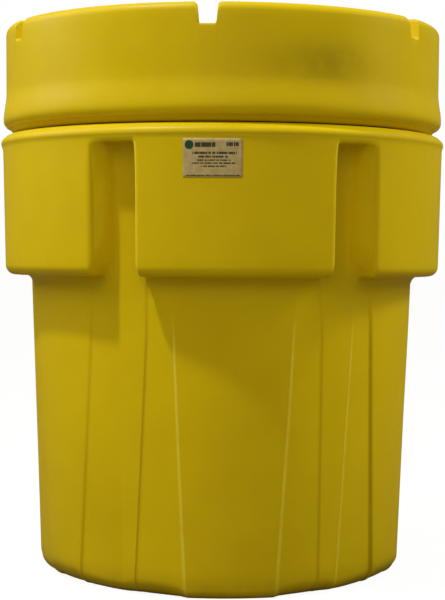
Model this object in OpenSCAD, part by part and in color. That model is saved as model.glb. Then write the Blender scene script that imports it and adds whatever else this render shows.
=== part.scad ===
// Overpack salvage drum: a rotomoulded drum body, a double-walled screw lid with
// a castellated rim, a foam gasket, the lid's vent plug and a product label.
// Millimetres, +Z up, origin on the floor at the drum's axis, front towards -Y.

/* [Drum body] */
// Overall height, floor to lid rim
overall_h = 990; // [980:1:1010]
// Largest radius, at the shoulder bead
bead_r = 410; // [408:1:414]
// Wall of the moulding
wall = 7; // [6:0.5:8]
// Radius of the lower body just below the band
body_top_r = 352; // [350:1:354]
// Radius of the lower body at the floor, before the foot rounding
body_foot_r = 330; // [328:1:334]
// Radius of the foot rounding
foot_round = 33; // [28:1:38]
// Height of the panel recessed into the underside
base_recess_h = 5; // [3:1:7]

/* [Shoulder band] */
// Underside of the band
band_z = 537; // [534:1:541]
// Height of the crease below the bead
crease_z = 769; // [767:1:771]
// Radius of the band at the crease
band_top_r = 407.5; // [406:0.5:408]
// Radius of the band at its lower edge
band_low_r = 401; // [399:1:403]
// Rounding of the band's lower edge
band_round = 18; // [14:1:20]
// Height where the shoulder meets the neck
shoulder_z = 795.5; // [794.5:0.5:796]
// Angle from the middle of a wide band panel to the recess on each side of it
recess_angle = 30.65; // [30:0.05:31]
// Half the angle of a recess at the crease
recess_top_half = 6; // [5.5:0.05:6.5]
// Half the angle of a recess at the band's lower edge
recess_low_half = 7.3; // [6.6:0.05:7.6]

/* [Lower body] */
// Number of proud panels, each under a wide band panel
proud_count = 3; // [3]
// Radius of a proud panel at the floor
proud_foot_r = 344; // [340:1:348]
// Half width of a proud panel at the floor
proud_foot_half = 82; // [76:1:88]
// Half width of a proud panel just below the band
proud_top_half = 104; // [98:1:108]
// Foot rounding of a proud panel
proud_round = 15; // [10:1:18]
// Radius of a ridge near the foot
ridge_foot_r = 337; // [335:1:340]

/* [Neck and thread] */
// Outer radius of the neck
neck_r = 352; // [351:0.5:353]
// Top of the neck
neck_top_z = 897; // [895:1:899]
// Lead of the single-start thread
thread_lead = 40; // [40]
// Height of the thread over the neck
thread_h = 12; // [10:0.5:12]
// Turns of thread on the neck
neck_turns = 1.65; // [1.4:0.05:1.65]
// Turns of thread in the lid
lid_turns = 1.25; // [1:0.05:1.25]

/* [Lid] */
// Radius of the lid's upper wall
lid_r = 402; // [400:1:404]
// Radius of the crease at the foot of the lid's flare
flare_r = 406; // [404:1:408]
// Lower edge of the lid
lip_z = 797; // [797:0.5:799]
// Radius inside the lid's skirt
skirt_bore_r = 368; // [367:0.5:369]
// Underside of the lid, which clamps the gasket
lid_under_z = 905; // [904:0.5:907]
// Top of the recessed deck
deck_z = 945; // [940:1:948]
// Number of notches in the raised rim
notch_count = 6; // [6]
// Depth of a notch below the rim
notch_depth = 37; // [32:1:40]
// Width of a notch at its floor
notch_low_w = 31; // [28:1:33]
// Width of a notch at the rim
notch_top_w = 35; // [32:1:37]
// Angle from the body's front to the nearest notch when the lid is closed
notch_angle = -7.35; // [-10:0.05:10]

/* [Small parts] */
// Width of the gasket's section
gasket_w = 16; // [12:1:18]
// Diameter of the moulding vent hole in the deck
vent_d = 20; // [16:1:24]
// Distance of the vent hole from the axis
vent_at_r = 250; // [180:5:270]
// Width of the label
label_w = 98; // [80:1:110]
// Height of the label
label_h = 64; // [50:1:66]
// Height of the label's centre
label_z = 732.5; // [720:0.5:734]
// Angle from the body's front to the label's centre
label_angle = -5.8; // [-8:0.1:8]

/* [Hidden] */
$fn = 96;

yellow = [0.86, 0.72, 0.10];
arc_steps = 6;                     // segments in a quarter round of a profile
base_recess_r = 240;               // where the recess in the underside ends
base_land_r = 248;                 // where the ring that it stands on starts
mouth_clear = 5;                   // by which the space inside runs past the neck's top
proud_step = 360 / proud_count;
notch_step = 360 / notch_count;
taper = (body_top_r - body_foot_r) / (band_z - 13);   // radius gained per mm of height
fillet_r = 15;                     // under the band
fillet_z = band_z - fillet_r;
recess_top_z = crease_z - 8;
recess_low_z = fillet_z - 30;
recess_floor_top_z = band_z + 200; // where the core leans in towards the neck
recess_root_r = body_top_r - 25;   // the cutting block starts well inside the wall
proud_root_r = 260;                // a proud panel's inner side, inside the wall
valley_angles = [28, 25];          // edges of a ridge at its foot and at its top,
ridge_angles = [35.2, 36.3];       // from the middle of the proud panel beside it
groove_angles = [48, 44.5];
ridge_foot_z = 14;
ridge_knee_z = 40;                 // below it the ridge follows the foot's rounding
ridge_top_z = fillet_z - 2;
ridge_root_r = 310;                // its inner edge, inside the wall
bead_z = crease_z + 7;             // widest point of the bead
seam_r = 389;                      // where the shoulder passes under the lid's lip
flare_z = lip_z + 14;
flare_start_z = flare_z + 49;
rim_round = 15;
rim_w = 44;                        // radial width of the raised rim
inner_rim_r = lid_r - rim_w;
notch_floor_z = overall_h - notch_depth;
thread_root_half = 8.5;            // half width of the thread where it leaves the wall
thread_crest_half = 5;
thread_embed = 3;
thread_step = 7.5;                 // degrees between the rings of the swept thread
thread_fade = 22.5;                // degrees over which its ends run out
neck_thread_z = 816;               // thread centre at the start of the neck's helix
thread_offset = 13;                // the lid's thread bears on the underside of the neck's
lid_thread_skip = 0.25;            // turns by which the lid's thread starts later
gasket_mid_r = neck_r - wall / 2;
plug_flange_d = vent_d + 9;
plug_flange_h = 2.5;
label_t = 0.6;

// Points of an arc about (cx, cy) from angle a to angle b
function arc(cx, cy, r, a, b, n = arc_steps) =
    [for (i = [0 : n]) let (t = a + (b - a) * i / n) [cx + r * cos(t), cy + r * sin(t)]];

// Radius of the tapered lower body at height z
function body_r(z) = body_foot_r + taper * z;

// Radius of the band at height z
function band_r(z) = band_low_r + (band_top_r - band_low_r) * (z - band_z) / (crease_z - band_z);

// Turns a shape built at the front, towards -Y, to an angle from the front
module face(a) rotate([0, 0, a]) children();

// Core of the body at a given inset: foot, tapered wall, floor of the recesses, neck.
// The inset form is the space inside, so it runs on through the mouth.
module core_form(inset) {
    mouth_z = inset > 0 ? neck_top_z + mouth_clear : neck_top_z;
    corner_r = body_r(foot_round) - foot_round;
    rotate_extrude()
        polygon(concat(
            [[0, base_recess_h + inset], [base_recess_r, base_recess_h + inset], [base_land_r, inset]],
            arc(corner_r, foot_round, foot_round - inset, -90, 0),
            [[body_r(recess_floor_top_z) - inset, recess_floor_top_z]],
            [[neck_r - inset, shoulder_z - inset], [neck_r - inset, mouth_z], [0, mouth_z]]));
}

// Band and shoulder as a ring, without its recesses
module band_ring(inset) {
    low_r = band_r(band_z + band_round);
    rotate_extrude()
        polygon(concat(
            [[body_top_r - 30, fillet_z - 10], [body_r(fillet_z - 10) - inset, fillet_z - 10]],
            arc(body_r(fillet_z) + fillet_r, fillet_z, fillet_r + inset, 180, 90),
            arc(low_r - band_round, band_z + band_round, band_round - inset, -90, 0),
            [[band_top_r - inset, crease_z]],
            arc(bead_r - 12 - inset / 2, bead_z, 12 - inset / 2, 0, 62, 4),
            [[seam_r + 4, shoulder_z - 4 - inset], [seam_r - 4, shoulder_z - 1.5 - inset],
             [neck_r, shoulder_z - inset], [body_top_r - 30, shoulder_z - inset]]));
}

// Block that cuts one recess, between two band panels, wider at its open lower end
module recess_cut(inset) {
    outer_r = bead_r + 20;
    function corner(r, a, side) = [r * sin(a) * side + inset * side, -r * cos(a)];
    function level(a, z) = [for (p = [corner(recess_root_r, a, -1), corner(recess_root_r, a, 1),
                                      corner(outer_r, a, 1), corner(outer_r, a, -1)]) [p[0], p[1], z]];
    polyhedron(
        points = concat(level(recess_low_half, recess_low_z),
                        level(recess_top_half, recess_top_z + inset)),
        faces = [[3, 2, 1, 0], [4, 5, 6, 7], [0, 1, 5, 4], [1, 2, 6, 5], [2, 3, 7, 6], [3, 0, 4, 7]]);
}

// Panel of the lower body that keeps its radius while the wall behind it tapers in
module proud_panel(inset) {
    foot_half = proud_foot_half - inset;
    top_half = proud_top_half - inset;
    panel_h = band_z + 10;
    corner_r = proud_foot_r - proud_round;
    intersection() {
        rotate_extrude()
            polygon(concat(
                [[proud_root_r, 25], [proud_root_r, inset]],
                arc(corner_r, proud_round, proud_round - min(inset, 6), -90, 0, 4),
                [[body_top_r + 0.6 - inset, panel_h], [proud_root_r, panel_h]]));
        rotate([90, 0, 0])
            linear_extrude(height = bead_r)
                polygon([[-foot_half, 0], [foot_half, 0], [top_half, panel_h], [-top_half, panel_h]]);
    }
}

// Ridge that runs down from one side of a recess; side is -1 or 1
module ridge(side) {
    sink = 2;   // its two edges run out this far under the wall
    function at(r, angles, z) =
        let (a = angles[0] + (angles[1] - angles[0]) * (z - ridge_foot_z) / (ridge_top_z - ridge_foot_z))
            [r * sin(a) * side, -r * cos(a), z];
    function level(crest_r, z) = [at(body_r(z) - sink, valley_angles, z), at(crest_r, ridge_angles, z),
                                  at(body_r(z) - sink, groove_angles, z), at(ridge_root_r, ridge_angles, z)];
    quads = [for (k = [0, 4], i = [0 : 3]) let (j = (i + 1) % 4)
                for (t = [[k + i, k + j, k + 4 + j], [k + i, k + 4 + j, k + 4 + i]])
                    side > 0 ? [t[2], t[1], t[0]] : t];
    ends = side > 0 ? [[0, 1, 2, 3], [11, 10, 9, 8]] : [[3, 2, 1, 0], [8, 9, 10, 11]];
    polyhedron(points = concat(level(ridge_foot_r - 6, ridge_foot_z), level(ridge_foot_r, ridge_knee_z),
                               level(body_r(ridge_top_z) + 1, ridge_top_z)),
               faces = concat(ends, quads));
}

// The body's form at a given inset: 0 is the outside, the wall's thickness the inside
module body_form(inset) {
    core_form(inset);
    difference() {
        band_ring(inset);
        for (k = [0 : proud_count - 1], side = [-1, 1])
            face(k * proud_step + side * recess_angle) recess_cut(inset);
    }
    for (k = [0 : proud_count - 1]) {
        face(k * proud_step) proud_panel(inset);
        if (inset == 0)
            for (side = [-1, 1]) face(k * proud_step) ridge(side);
    }
}

// Helical ridge from the wall at radius r_wall to its crest, over some turns of the lead.
// skip is the number of turns by which it starts after the front of the helix.
module thread(r_wall, r_crest, z0, skip, turns) {
    rings = round(turns * 360 / thread_step);
    outward = r_crest > r_wall;
    sense = outward ? 1 : -1;
    function fade(a) = min(1, 0.12 + a / thread_fade, 0.12 + (turns * 360 - a) / thread_fade);
    function ring(i) =
        let (a = i * thread_step, f = fade(a), t = skip * 360 + a, z = z0 + thread_lead * t / 360,
             crest = r_wall + (r_crest - r_wall) * f, foot = r_wall - sense * thread_embed)
            [for (p = [[foot, -thread_root_half], [crest, -thread_crest_half],
                       [crest, thread_crest_half], [foot, thread_root_half]])
                [p[0] * sin(t), -p[0] * cos(t), z + p[1]]];
    walls = [for (i = [0 : rings - 1], j = [0 : 3])
                let (a = 4 * i + j, b = 4 * i + (j + 1) % 4)
                    for (t = [[a, a + 4, b + 4], [a, b + 4, b]]) outward ? [t[2], t[1], t[0]] : t];
    n = 4 * rings;
    ends = outward ? [[3, 2, 1, 0], [n, n + 1, n + 2, n + 3]]
                   : [[0, 1, 2, 3], [n + 3, n + 2, n + 1, n]];
    polyhedron(points = [for (i = [0 : rings]) each ring(i)], faces = concat(ends, walls));
}

module drum_body() {
    color(yellow) {
        difference() {
            body_form(0);
            body_form(wall);
        }
        thread(neck_r, neck_r + thread_h, neck_thread_z, 0, neck_turns);
    }
}

// One notch through the raised rim
module notch_cut(inset) {
    low_half = notch_low_w / 2 + inset;
    top_half = notch_top_w / 2 + inset;
    clear = 30;   // by which the block runs past the rim on each side
    translate([0, -inner_rim_r + clear, 0])
        rotate([90, 0, 0])
            linear_extrude(height = rim_w + 2 * clear)
                polygon([[-low_half, notch_floor_z - inset], [low_half, notch_floor_z - inset],
                         [top_half, overall_h + 1], [-top_half, overall_h + 1]]);
}

// The lid's form at a given inset: 0 is the skin, the wall's thickness the hollow
module lid_form(inset) {
    lip_round = 14;
    difference() {
        rotate_extrude()
            polygon(concat(
                [[0, lid_under_z + inset], [skirt_bore_r + inset, lid_under_z + inset],
                 [skirt_bore_r + inset, lip_z + inset]],
                arc(flare_r - lip_round, lip_z + lip_round, lip_round - inset, -90, 0, 4),
                [[lid_r - inset, flare_start_z]],
                arc(lid_r - rim_round, overall_h - rim_round, rim_round - inset, 0, 90),
                [[inner_rim_r + 10, overall_h - inset], [inner_rim_r + inset, overall_h - 10],
                 [inner_rim_r - 6 + inset, deck_z + 10 - inset / 2],
                 [inner_rim_r - 16 + inset / 2, deck_z - inset], [0, deck_z - inset]]));
        for (k = [0 : notch_count - 1])
            face(notch_angle + k * notch_step) notch_cut(inset);
    }
}

module screw_lid() {
    color(yellow) {
        difference() {
            lid_form(0);
            lid_form(wall);
            face(notch_angle + notch_step / 2)
                translate([0, -vent_at_r, deck_z - wall - 1]) cylinder(h = wall + 2, d = vent_d);
        }
        thread(skirt_bore_r, skirt_bore_r - thread_h, neck_thread_z - thread_offset,
               lid_thread_skip, lid_turns);
    }
}

module lid_gasket() {
    color([0.16, 0.16, 0.17])
        rotate_extrude()
            translate([gasket_mid_r - gasket_w / 2, neck_top_z])
                square([gasket_w, lid_under_z - neck_top_z]);
}

module lid_vent_plug() {
    color([0.12, 0.12, 0.12])
        face(notch_angle + notch_step / 2)
            translate([0, -vent_at_r, 0])
                rotate_extrude()
                    polygon([[0, deck_z - wall - 4], [vent_d / 2 - 2, deck_z - wall - 4],
                             [vent_d / 2 - 0.2, deck_z - wall], [vent_d / 2 - 0.2, deck_z],
                             [plug_flange_d / 2, deck_z], [plug_flange_d / 2, deck_z + 1],
                             [plug_flange_d / 2 - 1.5, deck_z + plug_flange_h],
                             [0, deck_z + plug_flange_h]]);
}

module product_label() {
    half = label_w / 2 / band_r(label_z) * 180 / PI;
    z0 = label_z - label_h / 2;
    z1 = label_z + label_h / 2;
    color([0.62, 0.54, 0.36])
        rotate([0, 0, -90 + label_angle - half])
            rotate_extrude(angle = 2 * half)
                polygon([[band_r(z0), z0], [band_r(z0) + label_t, z0],
                         [band_r(z1) + label_t, z1], [band_r(z1), z1]]);
}

drum_body();
screw_lid();
lid_gasket();
lid_vent_plug();
product_label();
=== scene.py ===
"""Overpack salvage drum: the looks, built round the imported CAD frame. Metres, +Z up, front towards -Y."""
import math

import bpy
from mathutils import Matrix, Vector


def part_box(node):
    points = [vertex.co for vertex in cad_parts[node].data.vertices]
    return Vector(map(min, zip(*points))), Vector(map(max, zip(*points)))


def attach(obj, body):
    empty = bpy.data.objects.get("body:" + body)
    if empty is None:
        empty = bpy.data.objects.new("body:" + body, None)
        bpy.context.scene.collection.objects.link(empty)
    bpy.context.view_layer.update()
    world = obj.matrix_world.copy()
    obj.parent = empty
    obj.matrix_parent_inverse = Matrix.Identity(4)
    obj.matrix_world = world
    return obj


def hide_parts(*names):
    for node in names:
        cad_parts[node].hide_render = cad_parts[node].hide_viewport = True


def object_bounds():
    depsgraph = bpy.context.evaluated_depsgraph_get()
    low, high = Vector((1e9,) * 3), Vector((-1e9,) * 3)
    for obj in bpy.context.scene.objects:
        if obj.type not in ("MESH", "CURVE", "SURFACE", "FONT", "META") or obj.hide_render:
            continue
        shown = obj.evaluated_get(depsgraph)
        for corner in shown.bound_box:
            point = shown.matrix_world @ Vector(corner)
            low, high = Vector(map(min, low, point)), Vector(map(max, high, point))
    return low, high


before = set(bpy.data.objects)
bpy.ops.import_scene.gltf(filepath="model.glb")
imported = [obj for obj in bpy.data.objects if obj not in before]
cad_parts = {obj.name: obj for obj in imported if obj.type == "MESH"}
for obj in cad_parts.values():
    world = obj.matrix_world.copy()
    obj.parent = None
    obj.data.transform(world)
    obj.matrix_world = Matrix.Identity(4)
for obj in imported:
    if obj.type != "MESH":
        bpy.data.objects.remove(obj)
cad_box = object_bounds()

MM = 0.001
QUARTER = 90.0
SECTOR = 60.0  # the body repeats every second sector, and is nearly mirrored in between
WALL = 7.0  # of both mouldings

# Heights and radii in millimetres, from the frame's own boxes where they give them
BODY_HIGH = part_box("drum_body")[1]
LID_LOW, LID_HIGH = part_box("screw_lid")
BEAD_R = BODY_HIGH.x / MM
NECK_TOP = BODY_HIGH.z / MM
LIP_Z = LID_LOW.z / MM
RIM_Z = LID_HIGH.z / MM


# ---------------------------------------------------------------- shape helpers


def smooth(t):
    """0 to 1 with level ends."""
    t = min(1.0, max(0.0, t))
    return t * t * (3 - 2 * t)


def mix(a, b, t):
    return a + (b - a) * t


def mix_point(p, q, t):
    return (mix(p[0], q[0], t), mix(p[1], q[1], t))


def arc(cx, cz, r, start, end, n):
    """Points of an arc in the (radius, height) plane, ends included."""
    angles = [math.radians(mix(start, end, i / n)) for i in range(n + 1)]
    return [(cx + r * math.cos(a), cz + r * math.sin(a)) for a in angles]


def line(p, q, n):
    """n steps from p towards q, without p itself."""
    return [mix_point(p, q, (i + 1) / n) for i in range(n)]


def flat(z, *radii):
    """Points at one height."""
    return [(r, z) for r in radii]


def bell(x, reach):
    """1 at zero and falling off smoothly to both sides, to 0.37 at the reach."""
    return math.exp(-(x / reach) ** 2)


def knots(x, points):
    """Straight-line interpolation through a short list of (x, y)."""
    if x <= points[0][0]:
        return points[0][1]
    for (x0, y0), (x1, y1) in zip(points, points[1:]):
        if x <= x1:
            return mix(y0, y1, (x - x0) / (x1 - x0))
    return points[-1][1]


def cut_wall(edge_at, foot_at, way, depth, edge_round, floor_round):
    """Plan of one wall of a cut, as (place, depth): a round edge, a straight wall and a round foot.

    way is the side on which the cut lies, 1 or -1."""
    steps = 5
    angles = [math.radians(QUARTER * i / steps) for i in range(steps + 1)]
    edge = [(edge_at - way * edge_round * (1 - math.sin(a)), edge_round * (1 - math.cos(a))) for a in angles]
    foot = [(foot_at + way * floor_round * (1 - math.cos(a)), depth - floor_round * (1 - math.sin(a)))
            for a in angles]
    return edge + foot


def lathe(name, columns, poles=(True, True)):
    """A closed skin from columns of (angle from the front, radius, height) points, turning towards +X.

    Where a column starts or ends on the axis, all columns share one point there. A point may have a fourth
    value for its tint: above 0 lighter, for painted highlights along edges and for rubbing; below 0 darker,
    for painted shade in creases and on patches."""
    rows = len(columns[0])
    count = len(columns)
    first = 1 if poles[0] else 0
    last = rows - 1 if poles[1] else rows
    verts, faces, wear_and_light = [], [], []
    for column in columns:
        for angle, r, z, *wear_and_light_value in column[first:last]:
            a = math.radians(angle)
            verts.append((r * math.sin(a) * MM, -r * math.cos(a) * MM, z * MM))
            wear_and_light += wear_and_light_value
    inner = last - first

    def at(col, row):
        return (col % count) * inner + row

    for c in range(count):
        for k in range(inner - 1):
            faces.append((at(c, k), at(c + 1, k), at(c + 1, k + 1), at(c, k + 1)))
    if poles[0]:
        low = len(verts)
        verts.append((0.0, 0.0, columns[0][0][2] * MM))
        faces += [(low, at(c + 1, 0), at(c, 0)) for c in range(count)]
    if poles[1]:
        high = len(verts)
        verts.append((0.0, 0.0, columns[0][-1][2] * MM))
        faces += [(at(c, inner - 1), at(c + 1, inner - 1), high) for c in range(count)]
    if not (poles[0] or poles[1]):  # a ring: the last row joins the first
        for c in range(count):
            faces.append((at(c, inner - 1), at(c + 1, inner - 1), at(c + 1, 0), at(c, 0)))
    obj = make_object(name, verts, faces)
    if wear_and_light:
        wear_and_light += [0.0] * (len(verts) - len(wear_and_light))
        obj.data.attributes.new("WearAndPaintedLight", "FLOAT", "POINT").data.foreach_set("value", wear_and_light)
    return obj


def make_object(name, verts, faces):
    mesh = bpy.data.meshes.new(name)
    mesh.from_pydata(verts, [], faces)
    mesh.polygons.foreach_set("use_smooth", [True] * len(mesh.polygons))
    mesh.update()
    obj = bpy.data.objects.new(name, mesh)
    bpy.context.scene.collection.objects.link(obj)
    return obj


# ---------------------------------------------------------------- drum body

BASE_RECESS_Z = 5.0
BASE_RECESS_R = 232.0
FOOT_RING_R = 252.0  # inner radius of the ring that it stands on
BODY_FOOT_R, BODY_TOP_R = 330.0, 352.0
FILLET_R = 15.0
BAND_Z = 537.0
FILLET_Z = BAND_Z - FILLET_R
TAPER = (BODY_TOP_R - BODY_FOOT_R) / (BAND_Z - 13)  # radius gained per mm of height
CREASE_Z = 769.0
BAND_LOW_R, BAND_TOP_R = 401.0, 407.5
BAND_ROUND = 18.0
BEAD_Z = CREASE_Z + 7
BEAD_ROUND = 11.0
SHOULDER_Z = 795.5
NECK_R = 352.0

# Recesses that part the band into wide and narrow panels
RECESS_ANGLE = 30.65
RECESS_TOP_HALF = 6.0
RECESS_TOP_Z = CREASE_Z - 8
RECESS_EDGE_ROUND = 8.0
CEILING_ROUND = 24.0
BROW_ROUND = 6.0
PANEL_WALL = (3.0, 9.0)  # beside a wide panel: how far it leans, and the round at its foot
FAR_WALL = (19.0, 15.0)  # the same of the wall across from it
PANEL_EDGE = RECESS_ANGLE - RECESS_TOP_HALF - 0.25  # the crest of a wide panel's upright edge

# Lines that run down the lower body, as angles from the middle of a proud panel: where they meet the
# band, then where they are (just below it, at the floor) on the panel's +X side and on its -X side
PROUD_EDGE = (17.0, (17.0, 12.0), (17.0, 13.0))
VALLEY = (24.4, (25.2, 26.2), (23.9, 29.2))
RIDGE = (36.4, (36.8, 32.9), (33.4, 33.4))
GROOVE = (43.0, (43.6, 50.2), (42.0, 50.8))
LINES = (PROUD_EDGE, VALLEY, RIDGE, GROOVE)
UNDER_BAND = 0.16  # share of the lower body in which the lines swing in from the band
LEAN_POWER = 1.2   # above 1, so they lean most near the floor
VALLEY_LIP = 0.7   # width of the small steps beside the valley and the groove
GROOVE_LIP = 1.0
# How far the surface stands out from the cone at each line, below the band and at the floor
PROUD_RELIEF = (1.0, 14.0)
VALLEY_RELIEF = (-1.5, 1.5)
LIP_RELIEF = (0.5, 3.5)
RIDGE_RELIEF = (-0.5, -1.5)
GROOVE_RELIEF = (-3.5, -6.0)
FAINT_GROOVE_RELIEF = (-2.0, -3.6)  # of the groove on a proud panel's -X side
RELIEF_POWER = 0.8  # below 1, so it grows most near the band
LINE_BEAD = 0.6     # height of the fine bead along a proud panel's edge and along a ridge
EDGE_REACH = 0.28   # half the width of a rounded line, in degrees
# Radii of the rounding between the wall and the floor
FOOT_ROUND = 29.0
GROOVE_FOOT_ROUND = 37.0  # from the groove on
RIDGE_FOOT_ROUND = 22.0   # at a ridge
PROUD_FOOT_ROUND = 15.0   # under a proud panel

# The columns of points that the skin is made of, in degrees
COLUMN_STEP = 3.0
COLUMN_GAP = 0.13  # a column that would be closer than this to another is left out
BESIDE_LINE = (-1.2, -0.6, -0.4, -0.2, 0.0, 0.2, 0.4, 0.6, 1.2)
BESIDE_VALLEY_LIP = (-0.2, 0.0, 0.2)
BESIDE_GROOVE_LIP = (-0.3, 0.0, 0.3)

EDGE_HIGHLIGHT_REACH = 0.42       # half the width of the painted highlight, partly rubbing, on a proud panel's edge, in degrees
FINE_HIGHLIGHT_REACH = 0.36  # and on a ridge or a panel's upright edge
CREASE_HIGHLIGHT = 0.6       # painted highlight along the crease under the bead
# Painted shade in the creases: degrees past the line, half its width, strength on the +X side and on the -X
# side
VALLEY_SHADE = (0.2, 0.7, 0.05, 0.42)
GROOVE_SHADE = (0.4, 0.6, 0.6, 0.15)

THREAD_LEAD = 40.0
THREAD_H = 12.0
THREAD_CREST_HALF, THREAD_ROOT_HALF = 5.0, 8.5
THREAD_RUN_OUT = 0.07  # turns over which its ends fade
NECK_THREAD_Z = 816.0
NECK_TURNS = 1.65


def body_r(z):
    return BODY_FOOT_R + TAPER * z


def band_r(z):
    return mix(BAND_LOW_R, BAND_TOP_R, (z - BAND_Z) / (CREASE_Z - BAND_Z))


def recess_edge(u0, side, draft, floor_round):
    """Columns across one wall of a recess, from the band to its floor, as (u, depth 0 to 1).

    side is the way to the recess, and draft is how far the wall leans into it."""
    depth = BAND_TOP_R - body_r(CREASE_Z - 100)
    per_degree = math.radians(1) * (BAND_TOP_R - depth / 2)
    wall = cut_wall(0.0, draft, 1, depth, RECESS_EDGE_ROUND, floor_round)
    return [(u0 + side * s / per_degree, d / depth) for s, d in wall]


def half_sector_columns():
    """Columns from the middle of a proud panel (0) to the middle of the next one (60), as (u, depth)."""
    walls = [(0.0, 0.0)] + recess_edge(RECESS_ANGLE - RECESS_TOP_HALF, 1, *PANEL_WALL)
    walls += recess_edge(RECESS_ANGLE + RECESS_TOP_HALF, -1, *FAR_WALL)[::-1] + [(SECTOR, 0.0)]
    extra = [COLUMN_STEP * i for i in range(1, round(SECTOR / COLUMN_STEP))]
    for line_at in LINES:
        extra += [line_at[0] + d for d in BESIDE_LINE]
    extra += [VALLEY[0] + VALLEY_LIP + d for d in BESIDE_VALLEY_LIP]
    extra += [GROOVE[0] + GROOVE_LIP + d for d in BESIDE_GROOVE_LIP]
    columns = list(walls)
    for u in extra:
        if min(abs(u - at) for at, _ in columns) > COLUMN_GAP:
            columns.append((u, knots(u, walls)))
    return sorted(columns)[:-1]


def body_columns():
    """(angle of the proud panel that it is measured from, u, depth, side) round the body."""
    half = half_sector_columns()
    cols = []
    for k in range(3):
        cols += [(k * 2 * SECTOR, u, w, 1) for u, w in half]
        cols += [((k + 1) * 2 * SECTOR, u, w, -1) for u, w in [(SECTOR, 0.0)] + half[:0:-1]]
    return cols


def below_band(z):
    """0 at the band, 1 at the floor."""
    return min(1.0, max(0.0, (FILLET_Z - z) / FILLET_Z))


def local_angle(u, z, side):
    """Where column u lies at height z: the columns lean with the lines of the lower body."""
    t = below_band(z)
    swing = smooth(t / UNDER_BAND)
    places = [(0.0, 0.0)]
    for at_band, *sides in LINES:
        high, low = sides[0 if side > 0 else 1]
        places.append((at_band, mix(at_band, mix(high, low, t ** LEAN_POWER), swing)))
    return knots(u, places + [(SECTOR, SECTOR)])


def relief(u, z, side):
    """How far the lower body stands out from its cone at column u and height z."""
    t = below_band(z)
    grow = t ** RELIEF_POWER
    proud = mix(*PROUD_RELIEF, t)
    valley, lip, ridge = (mix(*pair, grow) for pair in (VALLEY_RELIEF, LIP_RELIEF, RIDGE_RELIEF))
    groove = mix(*(GROOVE_RELIEF if side > 0 else FAINT_GROOVE_RELIEF), grow)
    facets = [(0.0, proud), (PROUD_EDGE[0], proud), (VALLEY[0], valley), (VALLEY[0] + VALLEY_LIP, lip),
              (RIDGE[0], ridge), (GROOVE[0], groove), (GROOVE[0] + GROOVE_LIP, 0.0), (SECTOR, 0.0)]
    samples = (-1.0, -0.5, 0.0, 0.5, 1.0)
    out = sum(knots(u + EDGE_REACH * s, facets) for s in samples) / len(samples)
    bead = bell(u - PROUD_EDGE[0], EDGE_REACH)
    if side > 0:
        bead += bell(u - RIDGE[0], EDGE_REACH)
    return out + LINE_BEAD * bead * smooth(t * 5)


def edge_light_and_crease_shade(u, z, side):
    """Lighter along the sharp edges, a painted highlight with some rubbing, and painted shade along the
    creases of the lower body.
    """
    edge_highlight = bell(u - PROUD_EDGE[0], EDGE_HIGHLIGHT_REACH)
    if side > 0:
        edge_highlight += bell(u - RIDGE[0], FINE_HIGHLIGHT_REACH)
    crease_shade = 0.0
    for line_at, (past, reach, *strengths) in ((VALLEY, VALLEY_SHADE), (GROOVE, GROOVE_SHADE)):
        crease_shade += strengths[0 if side > 0 else 1] * bell(u - (line_at[0] + past), reach)
    return (edge_highlight - crease_shade) * smooth((below_band(z) - 0.02) / 0.2)


def band_highlight(u, z):
    """Painted highlight along the crease under the bead and along a wide panel's upright edges."""
    crease = CREASE_HIGHLIGHT * bell(z - CREASE_Z - 1.0, 2.0)
    if z >= RECESS_TOP_Z:
        return crease
    return max(crease, bell(u - PANEL_EDGE, FINE_HIGHLIGHT_REACH) * smooth((z - BAND_Z) / 12))


def foot_round(u):
    """Radius of the rounding between the wall and the floor, which changes round the foot."""
    proud = 1 - smooth((u - PROUD_EDGE[0] + 0.5) / 2.5)
    ridged = bell(u - RIDGE[0], 5.0)
    plain = mix(FOOT_ROUND, GROOVE_FOOT_ROUND, smooth((u - GROOVE[0] + 2.0) / 8.0))
    return mix(mix(plain, RIDGE_FOOT_ROUND, ridged), PROUD_FOOT_ROUND, proud)


def thread_height(u, z, start_z, start_turn, turns):
    """Height of a helical thread, 0 to 1, at an angle and a height, with ends that run out."""
    end_turn = start_turn + turns
    best = 0.0
    for lap in range(-1, 4):
        turn = u / 360.0 + lap
        if start_turn <= turn <= end_turn:
            fade = min(1.0, (turn - start_turn) / THREAD_RUN_OUT, (end_turn - turn) / THREAD_RUN_OUT)
            off_centre = abs(z - (start_z + THREAD_LEAD * turn))
            flank = smooth((THREAD_ROOT_HALF - off_centre) / (THREAD_ROOT_HALF - THREAD_CREST_HALF))
            best = max(best, flank * smooth(fade))
    return best


def band_profile():
    """Outside of the band, from the fillet under it to the crease."""
    low_corner = band_r(BAND_Z + BAND_ROUND) - BAND_ROUND
    pts = arc(body_r(FILLET_Z) + FILLET_R, FILLET_Z, FILLET_R, 180, 90, 6)[1:]
    pts += line(pts[-1], (low_corner, BAND_Z), 3)
    pts += arc(low_corner, BAND_Z + BAND_ROUND, BAND_ROUND, -90, 0, 7)[1:]
    pts += line(pts[-1], (band_r(RECESS_TOP_Z - 4), RECESS_TOP_Z - 4), 13)
    pts += line(pts[-1], (BAND_TOP_R + 0.2, CREASE_Z - 2), 4)
    return pts


def recess_profile(u, side):
    """Floor, round ceiling and brow of a recess: as many points as the band's profile has."""
    ceiling_z = RECESS_TOP_Z - CEILING_ROUND
    brow_r = BAND_TOP_R - BROW_ROUND - 0.5
    heights = [mix(FILLET_Z, ceiling_z, (i + 1) / 23.0) for i in range(23)]
    pts = [(body_r(z) + relief(u, z, side), z) for z in heights]
    pts += arc(pts[-1][0] + CEILING_ROUND, ceiling_z, CEILING_ROUND, 180, 90, 5)[1:]
    pts += flat(RECESS_TOP_Z, brow_r)
    pts += arc(brow_r, RECESS_TOP_Z + BROW_ROUND, BROW_ROUND, -90, -8, 4)[1:]
    return pts


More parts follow.
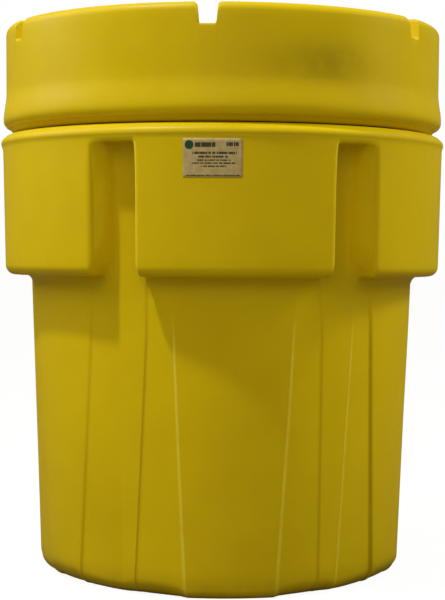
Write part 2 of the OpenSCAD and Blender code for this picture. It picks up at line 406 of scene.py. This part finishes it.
def outer_profile(u, w, side):
    """Outside of the body at one column, from the middle of the underside to the foot of the neck.

    w is the column's depth in a recess, 0 to 1."""
    pts = flat(BASE_RECESS_Z, 0.0, 120.0, BASE_RECESS_R)
    pts += [(240.0, BASE_RECESS_Z - 0.6), (246.0, 0.6)] + flat(0.0, FOOT_RING_R, 275.0)
    rho = foot_round(u)
    wall_z = [mix(rho, FILLET_Z, (i / 20.0) ** 0.9) for i in range(21)]
    pts += arc(body_r(rho) + relief(u, rho, side) - rho, rho, rho, -90, 0, 8)[:-1]
    pts += [(body_r(z) + relief(u, z, side), z) for z in wall_z]
    pts += [mix_point(p, q, w) for p, q in zip(band_profile(), recess_profile(u, side), strict=True)]
    # crease, bead and shoulder
    pts += [(BAND_TOP_R + 0.4, CREASE_Z - 0.9), (BAND_TOP_R + 0.75, CREASE_Z + 0.6),
            (BAND_TOP_R + 1.4, CREASE_Z + 2.4)]
    pts += arc(BEAD_R - BEAD_ROUND, BEAD_Z, BEAD_ROUND, -10, 62, 8)
    pts += [(400.6, BEAD_Z + 13.2), (396.5, BEAD_Z + 15.0), (391.5, BEAD_Z + 16.2), (385.0, BEAD_Z + 16.9),
            (378.0, BEAD_Z + 17.5), (NECK_R + 9, SHOULDER_Z - 1), (NECK_R + 4, SHOULDER_Z),
            (NECK_R + 1, SHOULDER_Z + 2)]
    return pts


def neck_profile(angle):
    """Neck with its thread, from the shoulder to the inside of the mouth."""
    pts = []
    z = SHOULDER_Z + 4.0
    while z < NECK_TOP - 5.0:
        pts.append((NECK_R + THREAD_H * thread_height(angle, z, NECK_THREAD_Z, 0.0, NECK_TURNS), z))
        z += 2.4
    pts += arc(NECK_R - WALL / 2, NECK_TOP - WALL / 2, WALL / 2, 0, 180, 8)
    return pts


def inner_profile(u, w, side):
    """Inside of the body at one column, from the neck down to the middle of the floor.

    full follows the band, slim the back of a recess, and w goes from one to the other."""
    bore_r = NECK_R - WALL
    band_top = [(bore_r, 860.0), (bore_r, 820.0), (bore_r, SHOULDER_Z - WALL + 2),
                (bore_r + 4, SHOULDER_Z - WALL - 2)]
    full = [(380.0, BEAD_Z + 9), (397.0, BEAD_Z + 3), (402.0, BEAD_Z - 4), (BAND_TOP_R - WALL, CREASE_Z - 4)]
    full += line(full[-1], (band_r(600.0) - WALL, 600.0), 6)
    full += arc(band_r(560.0) - BAND_ROUND, BAND_Z + BAND_ROUND, BAND_ROUND - WALL, 0, -90, 4)
    full += arc(body_r(FILLET_Z) + FILLET_R, FILLET_Z, FILLET_R + WALL, 90, 180, 4)
    slim_z = [mix(RECESS_TOP_Z - WALL, FILLET_Z, (i + 1) / len(full)) for i in range(len(full))]
    slim = [(body_r(z) - WALL + relief(u, FILLET_Z, side), z) for z in slim_z]
    pts = band_top + [mix_point(p, q, w) for p, q in zip(full, slim)]
    rho = foot_round(u)
    wall_z = [mix(FILLET_Z, rho, (i + 1) / 10) for i in range(10)]
    pts += [(body_r(z) + relief(u, z, side) - WALL, z) for z in wall_z]
    pts += arc(body_r(rho) + relief(u, rho, side) - rho, rho, rho - WALL, 0, -90, 5)[1:]
    floor = BASE_RECESS_Z + WALL
    return pts + [(250.0, WALL)] + flat(floor, 243.0, 120.0, 0.0)


def build_body():
    columns = []
    for base, u, w, side in body_columns():
        points = []
        for r, z in outer_profile(u, w, side):
            # the points carry painted highlights along edges and painted shade in creases as a tint
            wear_and_light_value = band_highlight(u, z) if z > FILLET_Z else edge_light_and_crease_shade(u, z, side)
            points.append((base + side * local_angle(u, z, side), r, z, wear_and_light_value))
        angle = base + side * u
        points += [(angle, r, z, 0.0) for r, z in neck_profile(angle % 360.0)]
        for r, z in inner_profile(u, w, side):
            points.append((base + side * local_angle(u, z, side), r, z, 0.0))
        columns.append(points)
    body = lathe("drum_shell", columns)
    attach(body, "drum")
    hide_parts("drum_body")
    return body


# ---------------------------------------------------------------- screw lid

LID_R, FLARE_R = 402.0, 406.0
FLARE_Z = LIP_Z + 23
WAIST_R, WAIST_Z = 400.8, LIP_Z + 72
PARTING_Z = LIP_Z + 9
RIM_ROUND, RIM_INNER_ROUND = 15.0, 12.0
RIM_LEAN = 4.0  # of the rim's inner wall
RIM_W = 44.0
INNER_RIM_R = LID_R - RIM_W
UNDER_Z = 905.0
DECK_Z = 945.0
DECK_SINK = 4.0  # of the deck's middle
BORE_R = 368.0
BORE_ROUND = 6.0
NOTCH_ANGLE = -7.35
NOTCH_STEP = 60.0
NOTCH_DEPTH = 37.0
NOTCH_LOW_HALF, NOTCH_TOP_HALF = 15.5, 17.5
NOTCH_EDGE_ROUND, NOTCH_FLOOR_ROUND = 6.5, 5.0
NOTCH_END_ROUND = 4.0  # where a notch's floor meets the skirt and the deck
BESIDE_NOTCH = (27.0, 36.0)  # columns on the plain rim next to a notch
LID_THREAD_Z = NECK_THREAD_Z - 13.0
LID_THREAD_SKIP, LID_TURNS = 0.25, 1.25
VENT_AT_R = 250.0
VENT_R = 10.0
# Patches of painted shade on the skirt: angle, distance below the rim, half width in degrees, half height,
# strength
SKIRT_SHADE_PATCHES = ((24.0, 94.0, 12.0, 38.0, 0.46), (11.0, 100.0, 30.0, 60.0, 0.42))


def notch_side():
    """Columns down one side of a notch as (sideways distance from its middle, depth below the rim)."""
    return cut_wall(NOTCH_TOP_HALF, NOTCH_LOW_HALF, -1, NOTCH_DEPTH, NOTCH_EDGE_ROUND, NOTCH_FLOOR_ROUND)


def lid_columns():
    """(angle of the sector, sideways distance or None, angle in the sector, depth) round the lid."""
    side = notch_side()
    cols = []
    for k in range(round(360 / NOTCH_STEP)):
        base = NOTCH_ANGLE + k * NOTCH_STEP
        cols += [(base, 0.0, 0.0, NOTCH_DEPTH)]
        cols += [(base, s, 0.0, d) for s, d in reversed(side)]
        cols += [(base, s, 0.0, 0.0) for s in BESIDE_NOTCH]
        cols += [(base, None, a, 0.0) for a in range(8, 53, 4)]
        cols += [(base + NOTCH_STEP, -s, 0.0, 0.0) for s in reversed(BESIDE_NOTCH)]
        cols += [(base + NOTCH_STEP, -s, 0.0, d) for s, d in side]
    return cols


def lid_angle(base, s, a, r):
    """A notch's sides are parallel, so near it a column keeps its distance and not its angle."""
    if s is None:
        return base + a
    return base + math.degrees(s / max(r, INNER_RIM_R - 8))


def lid_profile(angle, d):
    """The lid's skin at one column, from the middle of its underside to the middle of its deck."""
    pts = flat(UNDER_Z, 0.0, 120.0, 240.0, 330.0)
    pts += arc(BORE_R - BORE_ROUND, UNDER_Z - BORE_ROUND, BORE_ROUND, 90, 0, 3)
    z = UNDER_Z - 9.0
    while z > LIP_Z + 7.0:
        h = thread_height(angle % 360.0, z, LID_THREAD_Z, LID_THREAD_SKIP, LID_TURNS)
        pts.append((BORE_R - THREAD_H * h, z))
        z -= 2.6
    pts += arc(BORE_R + BORE_ROUND, LIP_Z + 5, BORE_ROUND, 180, 260, 4)
    pts += [(378.5, LIP_Z - 2.0), (383.5, LIP_Z - 2.4), (387.2, LIP_Z - 1.4), (389.8, LIP_Z + 1.6),
            (392.4, LIP_Z + 4.9), (395.8, LIP_Z + 7.7), (398.6, LIP_Z + 8.8), (399.8, PARTING_Z + 0.2),
            (401.3, LIP_Z + 10.6), (403.6, LIP_Z + 13.4), (405.3, LIP_Z + 17.2), (FLARE_R, FLARE_Z)]
    for i in range(1, 9):
        t = i / 8
        pts.append((mix(FLARE_R, WAIST_R, mix(t, smooth(t), 0.85)), mix(FLARE_Z, WAIST_Z, t)))
    w = d / NOTCH_DEPTH
    top = RIM_Z - d
    cut = smooth(w * 1.4)
    rho = mix(RIM_ROUND, NOTCH_END_ROUND, cut)
    rho_in = mix(RIM_INNER_ROUND, NOTCH_END_ROUND, cut)
    pts += line(pts[-1], (LID_R, top - rho), 8)
    pts += arc(LID_R - rho, top - rho, rho, 0, 90, 7)[1:]
    edge_r = INNER_RIM_R + RIM_LEAN * (1 - w) + rho_in
    pts += line(pts[-1], (edge_r, top), 3)
    pts += arc(edge_r, top - rho_in, rho_in, 90, 180, 5)[1:]
    foot = min(DECK_Z + 12, top - rho_in)
    pts += line(pts[-1], (mix(INNER_RIM_R - 1, INNER_RIM_R, w), foot), 3)
    pts += [(INNER_RIM_R - 3.2, mix(DECK_Z + 5.4, DECK_Z + 3.6, w)), (INNER_RIM_R - 7.5, DECK_Z + 1.6),
            (INNER_RIM_R - 14, DECK_Z)]
    # deck with a ring groove and a slightly sunk middle
    pts += flat(DECK_Z, 318.0, 306.0)
    pts += [(302.0, DECK_Z - 1.2), (298.0, DECK_Z - 3.0), (292.0, DECK_Z - 3.4), (286.0, DECK_Z - 3.0),
            (282.0, DECK_Z - 1.2)]
    pts += flat(DECK_Z, 278.0, 262.0, 238.0, 200.0, 130.0)
    pts += [(122.0, DECK_Z - 0.8), (112.0, DECK_Z - 3.6)]
    return pts + flat(DECK_Z - DECK_SINK, 104.0, 50.0, 0.0)


def lid_wear_and_shade(angle, r, z):
    """Rubbed along the mould's parting line on the lip, with painted shade on the skirt to the right of the
    front.
    """
    if r < BORE_R + 25 or z > RIM_Z - RIM_ROUND:
        return 0.0
    a = (angle + 180.0) % 360.0 - 180.0
    lightened = 0.8 * bell(z - PARTING_Z, 0.8)
    shade_patch = sum(strength * bell(a - at, wide) * bell(z - RIM_Z + below, high)
                 for at, below, wide, high, strength in SKIRT_SHADE_PATCHES)
    return lightened - shade_patch


def build_lid():
    columns = []
    for base, s, a, d in lid_columns():
        outer = base + (a if s is None else math.degrees(s / LID_R))
        points = []
        for r, z in lid_profile(outer, d):
            points.append((lid_angle(base, s, a, r), r, z, lid_wear_and_shade(outer, r, z)))
        columns.append(points)
    lid = lathe("lid_shell", columns)
    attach(lid, "lid")
    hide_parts("screw_lid")
    return lid


# ---------------------------------------------------------------- small parts


GASKET_HALF = 7.6  # half its width at its top and bottom
GASKET_CORNER = 2.0
GASKET_BULGE = 0.4  # by which each side stands out at the middle


def build_gasket():
    """Foam ring, pressed a little wider at its middle."""
    low, high = (p.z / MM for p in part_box("lid_gasket"))
    mid_r, mid_z = NECK_R - WALL / 2, (low + high) / 2
    inner, outer = mid_r - GASKET_HALF + GASKET_CORNER, mid_r + GASKET_HALF - GASKET_CORNER
    bottom, top = low + GASKET_CORNER, high - GASKET_CORNER
    section = []
    for cx, cz, start in ((outer, bottom, -90), (outer, top, 0), (inner, top, 90), (inner, bottom, 180)):
        section += arc(cx, cz, GASKET_CORNER, start, start + 90, 4)
    pressed = []
    for r, z in section:
        bulge = GASKET_BULGE * math.cos((z - mid_z) / (high - low) * math.pi)
        pressed.append((r + math.copysign(bulge, r - mid_r), z))
    gasket = lathe("gasket_ring", [[(3.0 * i, r, z) for r, z in pressed] for i in range(120)], (False, False))
    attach(gasket, "gasket")
    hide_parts("lid_gasket")
    return gasket


def build_plug():
    """Push-in plug with a thin flange, a sunk middle and a barb behind the skin."""
    z = DECK_Z
    skin_z = DECK_Z - WALL
    profile = flat(skin_z - 4, 0.0, VENT_R - 3)
    profile += [(VENT_R - 0.6, skin_z - 1.6), (VENT_R - 0.2, skin_z), (VENT_R - 0.4, z - 3)]
    profile += [(VENT_R - 0.2, z), (14.2, z), (14.5, z + 0.5), (14.3, z + 1.3), (13.2, z + 2.1),
                (11.5, z + 2.4), (8.6, z + 2.4), (8.0, z + 2.1), (7.6, z + 1.2)]
    profile += flat(z + 0.9, 7.2, 0.0)
    plug = lathe("vent_plug_cap", [[(10.0 * i, r, h) for r, h in profile] for i in range(36)])
    a = math.radians(NOTCH_ANGLE + NOTCH_STEP / 2)
    for v in plug.data.vertices:
        v.co += Vector((VENT_AT_R * math.sin(a), -VENT_AT_R * math.cos(a), 0)) * MM
    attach(plug, "lid")
    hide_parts("lid_vent_plug")
    return plug


LABEL_W, LABEL_H = 98.0, 64.0
LABEL_Z = 732.5
LABEL_ANGLE = -5.8
LABEL_LIFT = (0.08, 0.35)  # of its back and of its face, off the band
LABEL_CORNER = 2.0


def build_label():
    """Thin printed sheet that follows the band's cone, with rounded corners and a UV map over its face."""
    nx, nz = 32, 16
    verts, faces = [], []

    def place(s, z, lift):
        r = band_r(z) + lift
        a = math.radians(LABEL_ANGLE) + s / band_r(LABEL_Z)
        return (r * math.sin(a) * MM, -r * math.cos(a) * MM, z * MM)

    half_w, half_h = LABEL_W / 2 - LABEL_CORNER, LABEL_H / 2 - LABEL_CORNER
    coords = []
    for lift in LABEL_LIFT:
        for j in range(nz + 1):
            for i in range(nx + 1):
                s = (i / nx - 0.5) * LABEL_W
                z = (j / nz - 0.5) * LABEL_H
                # pull the corner points in onto a small round
                dx, dz = abs(s) - half_w, abs(z) - half_h
                if dx > 0 and dz > 0 and math.hypot(dx, dz) > LABEL_CORNER:
                    k = LABEL_CORNER / math.hypot(dx, dz)
                    s = math.copysign(half_w + dx * k, s)
                    z = math.copysign(half_h + dz * k, z)
                verts.append(place(s, LABEL_Z + z, lift))
                coords.append((s / LABEL_W + 0.5, z / LABEL_H + 0.5))

    def at(layer, i, j):
        return layer * (nx + 1) * (nz + 1) + j * (nx + 1) + i

    for j in range(nz):
        for i in range(nx):
            faces.append((at(1, i, j), at(1, i + 1, j), at(1, i + 1, j + 1), at(1, i, j + 1)))
            faces.append((at(0, i, j + 1), at(0, i + 1, j + 1), at(0, i + 1, j), at(0, i, j)))
    rim = [(i, 0) for i in range(nx)] + [(nx, j) for j in range(nz)]
    rim += [(i, nz) for i in range(nx, 0, -1)] + [(0, j) for j in range(nz, 0, -1)]
    for (i, j), (m, n) in zip(rim, rim[1:] + rim[:1]):
        faces.append((at(0, i, j), at(0, m, n), at(1, m, n), at(1, i, j)))
    label = make_object("label_sheet", verts, faces)
    uv = label.data.uv_layers.new(name="Print")
    for loop in label.data.loops:
        uv.data[loop.index].uv = coords[loop.vertex_index]
    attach(label, "drum")
    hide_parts("product_label")
    return label


# ---------------------------------------------------------------- materials


class Nodes:
    """A material's node tree with short calls for what the materials below repeat."""

    def __init__(self, name, color, roughness, specular=0.5):
        self.material = bpy.data.materials.new(name)
        self.material.use_nodes = True
        self.tree = self.material.node_tree
        self.shader = self.tree.nodes["Principled BSDF"]
        self.shader.inputs["Base Color"].default_value = (*color, 1)
        self.shader.inputs["Roughness"].default_value = roughness
        self.shader.inputs["Specular IOR Level"].default_value = specular
        self.coords = self.tree.nodes.new("ShaderNodeTexCoord")

    def link(self, source, target):
        self.tree.links.new(source, target)

    def feed(self, socket, value):
        if isinstance(value, (int, float, tuple)):
            socket.default_value = value
        else:
            self.link(value, socket)

    def noise(self, scale, detail=3.0, roughness=0.5, stretch=(1, 1, 1), distortion=0.0):
        mapping = self.tree.nodes.new("ShaderNodeMapping")
        mapping.inputs["Scale"].default_value = stretch
        self.link(self.coords.outputs["Object"], mapping.inputs["Vector"])
        node = self.tree.nodes.new("ShaderNodeTexNoise")
        node.inputs["Scale"].default_value = scale
        node.inputs["Detail"].default_value = detail
        node.inputs["Roughness"].default_value = roughness
        node.inputs["Distortion"].default_value = distortion
        self.link(mapping.outputs["Vector"], node.inputs["Vector"])
        return node.outputs["Fac"]

    def ramp(self, value, low, high, out_low=0.0, out_high=1.0):
        node = self.tree.nodes.new("ShaderNodeMapRange")
        node.interpolation_type = "SMOOTHSTEP"
        self.link(value, node.inputs["Value"])
        numbers = {"From Min": low, "From Max": high, "To Min": out_low, "To Max": out_high}
        for socket, number in numbers.items():
            node.inputs[socket].default_value = number
        return node.outputs["Result"]

    def math(self, operation, a, b=0.0):
        node = self.tree.nodes.new("ShaderNodeMath")
        node.operation = operation
        self.feed(node.inputs[0], a)
        self.feed(node.inputs[1], b)
        return node.outputs[0]

    def times(self, a, b):
        return self.math("MULTIPLY", a, b)

    def blend(self, factor, a, b):
        node = self.tree.nodes.new("ShaderNodeMix")
        node.data_type = "RGBA"
        self.feed(node.inputs["Factor"], factor)
        self.feed(node.inputs[6], a)
        self.feed(node.inputs[7], b)
        return node.outputs[2]

    def bump(self, height, strength, distance, after=None):
        node = self.tree.nodes.new("ShaderNodeBump")
        node.inputs["Strength"].default_value = strength
        node.inputs["Distance"].default_value = distance
        self.link(height, node.inputs["Height"])
        if after is not None:
            self.link(after, node.inputs["Normal"])
        return node.outputs["Normal"]

    def attribute(self, name):
        node = self.tree.nodes.new("ShaderNodeAttribute")
        node.attribute_name = name
        return node.outputs["Fac"]

    def axes(self, coordinates):
        """X, Y and Z of the object's own coordinates, in metres, or of its UV map."""
        split = self.tree.nodes.new("ShaderNodeSeparateXYZ")
        self.link(self.coords.outputs[coordinates], split.inputs[0])
        return split.outputs


YELLOW = (0.68, 0.500, 0.001)
YELLOW_DEEP = (0.64, 0.455, 0.001)
# the worn tint also paints highlights along edges, and the grime also paints shade in creases and on the
# lid's skirt
YELLOW_WORN_AND_HIGHLIGHT = (0.84, 0.70, 0.06)
GRIME_AND_SHADE = (0.27, 0.18, 0.004)
SPLASH_TOP = 0.45  # metres above the floor to which the body is splashed, and to which its foot is dirty
FOOT_DIRT_TOP = 0.05


def polyethylene(name):
    """Rotomoulded polyethylene: orange peel, slow waviness, mottling, a rubbed parting line, scratches and
    dirt, with painted highlights along edges and painted shade in creases and on patches.
    """
    m = Nodes(name, YELLOW, 0.42, 0.2)
    mottle = m.ramp(m.noise(9.0, 4.0, 0.6), 0.35, 0.68)
    color = m.blend(m.times(mottle, 0.55), (*YELLOW, 1), (*YELLOW_DEEP, 1))
    rubs = m.ramp(m.noise(14.0, 6.0, 0.62, (1, 1, 0.3), 0.6), 0.58, 0.78)
    scratches = m.ramp(m.noise(46.0, 3.0, 0.55, (1, 1, 0.05), 0.3), 0.66, 0.72)
    marks = m.times(scratches, rubs)
    color = m.blend(m.times(marks, 0.3), color, (*YELLOW_WORN_AND_HIGHLIGHT, 1))
    # painted highlights along edges and the rubbed parting line lighten the yellow; painted shade in creases
    # and on patches darkens it
    wear_and_light = m.attribute("WearAndPaintedLight")
    patchy = m.ramp(m.noise(30.0, 4.0, 0.6), 0.25, 0.6, 0.55, 1.0)
    lightened = m.times(m.ramp(wear_and_light, 0.15, 1.0, 0.0, 0.72), patchy)
    color = m.blend(lightened, color, (*YELLOW_WORN_AND_HIGHLIGHT, 1))
    painted_shade = m.times(m.ramp(wear_and_light, -0.1, -1.0, 0.0, 0.6), patchy)
    color = m.blend(painted_shade, color, (*GRIME_AND_SHADE, 1))
    z = m.axes("Object")["Z"]
    splashed = m.times(m.ramp(z, SPLASH_TOP, 0.0), m.ramp(m.noise(6.0, 4.0), 0.3, 0.7, 0.12, 0.22))
    color = m.blend(splashed, color, (*GRIME_AND_SHADE, 1))
    foot = m.times(m.ramp(z, FOOT_DIRT_TOP, 0.0), m.ramp(m.noise(25.0, 4.0), 0.3, 0.7, 0.35, 0.6))
    color = m.blend(foot, color, (*GRIME_AND_SHADE, 1))
    m.link(color, m.shader.inputs["Base Color"])
    uneven = m.ramp(m.noise(22.0, 4.0, 0.6), 0.3, 0.7, 0.37, 0.47)
    m.link(m.math("ADD", uneven, m.times(marks, 0.12)), m.shader.inputs["Roughness"])
    slow = m.bump(m.noise(11.0, 1.5, 0.4), 0.5, 0.0022)
    peel = m.bump(m.noise(420.0, 2.0, 0.5), 0.16, 0.0006, slow)
    m.link(m.bump(marks, 0.25, 0.0002, peel), m.shader.inputs["Normal"])
    return m.material


def foam():
    m = Nodes("closed_cell_foam", (0.035, 0.035, 0.037), 0.9, 0.25)
    cells = m.noise(900.0, 2.0, 0.6)
    m.link(m.blend(m.ramp(cells, 0.3, 0.7), (0.022, 0.022, 0.024, 1), (0.055, 0.055, 0.058, 1)),
           m.shader.inputs["Base Color"])
    m.link(m.bump(cells, 0.6, 0.0008), m.shader.inputs["Normal"])
    return m.material


def plug_plastic():
    m = Nodes("plug_plastic", (0.02, 0.02, 0.021), 0.45, 0.5)
    m.link(m.ramp(m.noise(240.0, 3.0), 0.3, 0.7, 0.38, 0.55), m.shader.inputs["Roughness"])
    m.link(m.bump(m.noise(1400.0, 2.0), 0.15, 0.0003), m.shader.inputs["Normal"])
    return m.material


LABEL_BASE = (0.52, 0.40, 0.20)
LABEL_AGED = (0.42, 0.32, 0.145)
INK = (0.022, 0.018, 0.012)
MARK_GREEN = (0.014, 0.068, 0.024)
# The print, in shares of the label's width (u) and height (v)
MARK_AT, MARK_R = (0.105, 0.835), 0.115
HEADING = (0.20, 0.575, 0.775, 0.895)  # u from and to, v from and to
BLOCK = (0.72, 0.93, 0.80, 0.90)
ROWS = (  # u from and to, v of the middle, height, fineness of the dashes
    (0.16, 0.90, 0.625, 0.060, 30.0),
    (0.26, 0.76, 0.530, 0.050, 34.0),
    (0.24, 0.80, 0.440, 0.038, 38.0),
    (0.14, 0.88, 0.365, 0.038, 38.0),
    (0.30, 0.72, 0.285, 0.038, 38.0),
    (0.04, 0.96, 0.055, 0.030, 46.0),
)
INK_DENSITY = 0.92


def label_print():
    """Tan film with generic print: a round mark, a heading bar, a small block and rows of dashes."""
    m = Nodes("label_film", LABEL_BASE, 0.5, 0.4)
    u, v, _ = m.axes("UV")

    def within(value, low, high, blur=0.004):
        return m.times(m.ramp(value, low - blur, low + blur), m.ramp(value, high + blur, high - blur))

    def box(u0, u1, v0, v1):
        return m.times(within(u, u0, u1), within(v, v0, v1, 0.008))

    def dashes(fineness, seed):
        """Uneven dashes along u, standing for words."""
        noise_node = m.tree.nodes.new("ShaderNodeTexNoise")
        noise_node.noise_dimensions = "1D"
        noise_node.inputs["Detail"].default_value = 1.0
        noise_node.inputs["Scale"].default_value = 1.0
        m.link(m.math("ADD", m.times(u, fineness), seed), noise_node.inputs["W"])
        return m.ramp(noise_node.outputs["Fac"], 0.36, 0.42)

    heading = m.times(box(*HEADING), dashes(17.0, 3.1))
    block = m.times(box(*BLOCK), dashes(60.0, 71.0))
    ink = m.math("MAXIMUM", heading, block)
    for i, (u0, u1, mid, height, fineness) in enumerate(ROWS):
        row = m.times(box(u0, u1, mid - height / 2, mid + height / 2), dashes(fineness, 10.0 * i))
        ink = m.math("MAXIMUM", ink, row)
    color = m.blend(m.ramp(m.noise(120.0, 4.0), 0.3, 0.7), (*LABEL_BASE, 1), (*LABEL_AGED, 1))
    color = m.blend(m.times(ink, INK_DENSITY), color, (*INK, 1))
    across = m.times(m.math("SUBTRACT", u, MARK_AT[0]), LABEL_W / LABEL_H)
    up = m.math("SUBTRACT", v, MARK_AT[1])
    radius = m.math("SQRT", m.math("ADD", m.times(across, across), m.times(up, up)))
    blur = 0.008
    color = m.blend(m.ramp(radius, MARK_R + blur, MARK_R - blur), color, (*MARK_GREEN, 1))
    m.link(color, m.shader.inputs["Base Color"])
    m.link(m.ramp(m.noise(300.0, 2.0), 0.3, 0.7, 0.42, 0.55), m.shader.inputs["Roughness"])
    m.link(m.bump(m.noise(500.0, 2.0), 0.1, 0.0003), m.shader.inputs["Normal"])
    return m.material


# ---------------------------------------------------------------- stage, camera, lights


FLOOR_HALF = 60.0
FLOOR_GAP = 0.0005  # below the object, so that the two don't share a plane
FLOOR_TONE = 0.86
FLOOR_BOUNCE = (0.20, 0.175, 0.08, 1)  # its colour for the light that it throws back
FLOOR_GLOW = 0.95  # how much of its brightness to the camera is its own


def build_stage():
    """Pale floor: bright to the camera, with only part of its light thrown back at the object."""
    h = FLOOR_HALF
    floor = make_object("studio_floor", [(-h, -h, 0), (h, -h, 0), (h, h, 0), (-h, h, 0)], [(0, 1, 2, 3)])
    floor.location.z = -FLOOR_GAP
    m = Nodes("studio_floor", (FLOOR_TONE,) * 3, 0.75, 0.2)
    seen = m.tree.nodes.new("ShaderNodeLightPath").outputs["Is Camera Ray"]
    m.link(m.blend(seen, FLOOR_BOUNCE, (1 - FLOOR_GLOW,) * 3 + (1,)), m.shader.inputs["Base Color"])
    m.shader.inputs["Emission Color"].default_value = (1, 1, 1, 1)
    m.link(m.times(seen, FLOOR_GLOW), m.shader.inputs["Emission Strength"])
    floor.data.materials.append(m.material)


VIEW_ANGLE = -3.65  # degrees from the body's front to the camera, towards -X
CAMERA_DISTANCE = 3.100
CAMERA_HEIGHT = 0.5767
FOCAL = 99.4
SHIFT_X, SHIFT_Y = 0.0015, -0.0772
ROLL = -0.32


def build_camera():
    """Level, with a long lens; the shift and the roll frame the drum."""
    camera = bpy.data.cameras.new("camera")
    camera.lens = FOCAL
    camera.sensor_width = 36.0
    camera.shift_x = SHIFT_X
    camera.shift_y = SHIFT_Y
    obj = bpy.data.objects.new("camera", camera)
    bpy.context.scene.collection.objects.link(obj)
    a = math.radians(VIEW_ANGLE)
    obj.location = (CAMERA_DISTANCE * math.sin(a), -CAMERA_DISTANCE * math.cos(a), CAMERA_HEIGHT)
    obj.rotation_mode = "XYZ"
    obj.rotation_euler = (math.radians(90), math.radians(ROLL), a)
    bpy.context.scene.camera = obj


LAMP_TINT = (1.0, 1.0, 0.93)


def softbox(name, angle, elevation, distance, size, strength, seen_in_gloss=False):
    """A round area light aimed at the middle of the drum; strength is about what reaches it, in W/m2.

    The angle is measured from the camera's side, towards +X."""
    light = bpy.data.lights.new(name, "AREA")
    light.shape = "DISK"
    light.size = size
    light.energy = strength * math.pi * distance ** 2
    light.color = LAMP_TINT
    obj = bpy.data.objects.new(name, light)
    obj.visible_glossy = seen_in_gloss
    bpy.context.scene.collection.objects.link(obj)
    a, e = math.radians(VIEW_ANGLE + angle), math.radians(elevation)
    towards = Vector((math.sin(a) * math.cos(e), -math.cos(a) * math.cos(e), math.sin(e)))
    middle = (cad_box[0] + cad_box[1]) / 2
    obj.location = middle + towards * distance
    obj.rotation_euler = towards.to_track_quat("Z", "Y").to_euler()


AMBIENT = 0.42        # strength of the surroundings
AMBIENT_GLOSS = 0.20  # and as a gloss mirrors them
AMBIENT_TINT = (1.0, 0.90, 0.60, 1)


def build_lights():
    """A key from the upper left, broader light from both sides and a weak fill from the front."""
    softbox("key", -54, 62, 6.0, 0.40, 1.85, seen_in_gloss=True)
    softbox("left_wall", -90, 34, 2.3, 1.4, 0.95, seen_in_gloss=True)
    softbox("right_lamp", 93, 42, 4.5, 0.9, 0.95)
    softbox("right_wall", 96, 30, 3.4, 2.0, 0.78)
    softbox("front", -4, 24, 2.8, 1.6, 0.42)


def build_world():
    """Dim, warm surroundings that the camera itself sees as plain white."""
    world = bpy.data.worlds.new("studio")
    bpy.context.scene.world = world
    world.use_nodes = True
    tree = world.node_tree
    path = tree.nodes.new("ShaderNodeLightPath")
    tint = tree.nodes.new("ShaderNodeMix")
    tint.data_type = "RGBA"
    tint.inputs[6].default_value = AMBIENT_TINT
    tint.inputs[7].default_value = (1, 1, 1, 1)
    tree.links.new(path.outputs["Is Camera Ray"], tint.inputs["Factor"])
    gloss = tree.nodes.new("ShaderNodeMapRange")
    gloss.inputs["To Min"].default_value = AMBIENT
    gloss.inputs["To Max"].default_value = AMBIENT_GLOSS
    tree.links.new(path.outputs["Is Glossy Ray"], gloss.inputs["Value"])
    strength = tree.nodes.new("ShaderNodeMapRange")
    strength.inputs["To Max"].default_value = 1.0
    tree.links.new(gloss.outputs["Result"], strength.inputs["To Min"])
    tree.links.new(path.outputs["Is Camera Ray"], strength.inputs["Value"])
    background = tree.nodes["Background"]
    tree.links.new(tint.outputs[2], background.inputs["Color"])
    tree.links.new(strength.outputs["Result"], background.inputs["Strength"])


# ---------------------------------------------------------------- the scene

build_camera()
build_stage()
build_lights()
build_world()
bpy.context.scene.view_settings.view_transform = "Standard"

yellow_body = polyethylene("drum_polyethylene")
yellow_lid = polyethylene("lid_polyethylene")
build_body().data.materials.append(yellow_body)
build_lid().data.materials.append(yellow_lid)
build_gasket().data.materials.append(foam())
build_plug().data.materials.append(plug_plastic())
build_label().data.materials.append(label_print())
